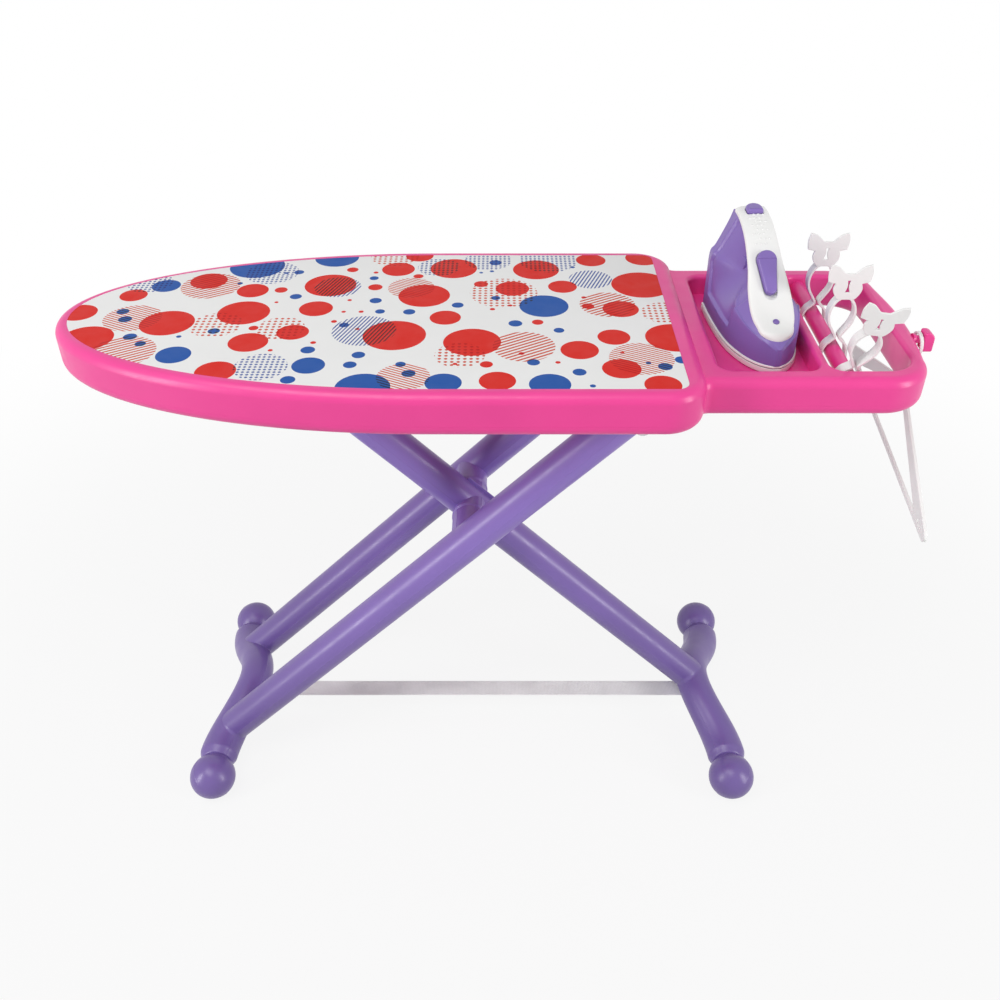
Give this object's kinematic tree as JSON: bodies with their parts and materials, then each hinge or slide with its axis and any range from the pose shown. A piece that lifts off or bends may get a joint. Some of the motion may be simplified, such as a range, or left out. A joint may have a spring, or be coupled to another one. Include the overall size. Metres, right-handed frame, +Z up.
{
  "type": "toy ironing board",
  "caption": "Toy ironing board on folding crossed legs, with a printed oval top, a tray holding a toy iron and clothes clips, and a hanger on an end hook.",
  "frame": {"origin": "centre of the bounding box at floor level", "axes": "+X from the rounded nose to the accessory tray, +Y away from the viewer across the board, +Z up"},
  "size_m": [0.7634, 0.2872, 0.5899],
  "materials": {
    "pink_plastic": "moulded, satin gloss",
    "purple_plastic": "moulded, satin",
    "white_plastic": "moulded, satin",
    "printed_cover": "white film printed with red and blue discs",
    "strap_webbing": "woven flat webbing",
    "plated_steel": "zinc plated"
  },
  "bodies": {
    "board": {"board_top_shell": "pink_plastic", "board_base_shell": "pink_plastic", "ironing_cover": "printed_cover", "hanger_hook": "pink_plastic", "base_screw_1": "plated_steel", "base_screw_2": "plated_steel", "base_screw_3": "plated_steel", "base_screw_4": "plated_steel", "base_screw_5": "plated_steel", "base_screw_6": "plated_steel", "hinge_bracket_front": "pink_plastic", "hinge_bracket_rear": "pink_plastic", "hinge_pin": "plated_steel", "slide_rail_front": "pink_plastic", "slide_rail_rear": "pink_plastic"},
    "leg_b": {"leg_b_tube": "purple_plastic", "leg_b_boss_front": "purple_plastic", "leg_b_boss_rear": "purple_plastic", "right_foot_bar": "purple_plastic", "right_foot_ball_front": "purple_plastic", "right_foot_ball_rear": "purple_plastic", "leg_strap": "strap_webbing", "strap_screw_right": "plated_steel"},
    "leg_a": {"leg_a_tube_front": "purple_plastic", "leg_a_tube_rear": "purple_plastic", "leg_a_boss_front": "purple_plastic", "leg_a_boss_rear": "purple_plastic", "pivot_pin": "plated_steel", "left_foot_bar": "purple_plastic", "left_foot_ball_front": "purple_plastic", "left_foot_ball_rear": "purple_plastic", "slider_rod": "plated_steel", "slider_cap": "white_plastic", "strap_screw_left": "plated_steel"},
    "iron": {"iron_soleplate": "white_plastic", "iron_body_left": "purple_plastic", "iron_body_right": "purple_plastic", "iron_top_cover": "white_plastic", "iron_indicator": "purple_plastic", "iron_screw": "plated_steel"},
    "steam_button": {"iron_steam_button": "purple_plastic"},
    "slider_button": {"iron_slider_button": "purple_plastic"},
    "clip_far": {"clip_far": "white_plastic"},
    "clip_middle": {"clip_middle": "white_plastic"},
    "clip_near": {"clip_near": "white_plastic"},
    "hanger": {"toy_hanger": "white_plastic"}
  },
  "joints": [
    {"name": "legs_fold", "type": "hinge", "parent": "board", "child": "leg_b", "pos_m": [-0.17221, 0, 0.4475], "axis": [0, 1, 0], "range_deg": [0, 30], "deforming": ["leg_strap"]},
    {"name": "leg_pivot", "type": "hinge", "parent": "leg_b", "child": "leg_a", "pos_m": [-0.02175, 0, 0.2985], "axis": [0, 1, 0], "range_deg": [-60, 0]},
    {"name": "iron_lift", "type": "slide", "parent": "board", "child": "iron", "axis": [0, 0, 1], "range_m": [0, 0.12]},
    {"name": "steam_press", "type": "slide", "parent": "iron", "child": "steam_button", "axis": [-0.0109, 0.1246, -0.9921], "range_m": [0, 0.0022], "stiffness_N_per_m": 300},
    {"name": "temperature_slide", "type": "slide", "parent": "iron", "child": "slider_button", "axis": [0.0655, -0.7492, -0.6591], "range_m": [0, 0.004]},
    {"name": "clip_far_slide", "type": "slide", "parent": "board", "child": "clip_far", "axis": [0, 1, 0], "range_m": [-0.02, 0.03]},
    {"name": "clip_middle_slide", "type": "slide", "parent": "board", "child": "clip_middle", "axis": [0, 1, 0], "range_m": [-0.012, 0.02]},
    {"name": "clip_near_slide", "type": "slide", "parent": "board", "child": "clip_near", "axis": [0, 1, 0], "range_m": [-0.001, 0.012]},
    {"name": "hanger_swing", "type": "hinge", "parent": "board", "child": "hanger", "pos_m": [0.37025, -0.028, 0.4965], "axis": [1, 0, 0], "range_deg": [-25, 15]}
  ],
  "couplings": [
    {"joint": "leg_pivot", "follows": "legs_fold", "ratio": -2}
  ]
}
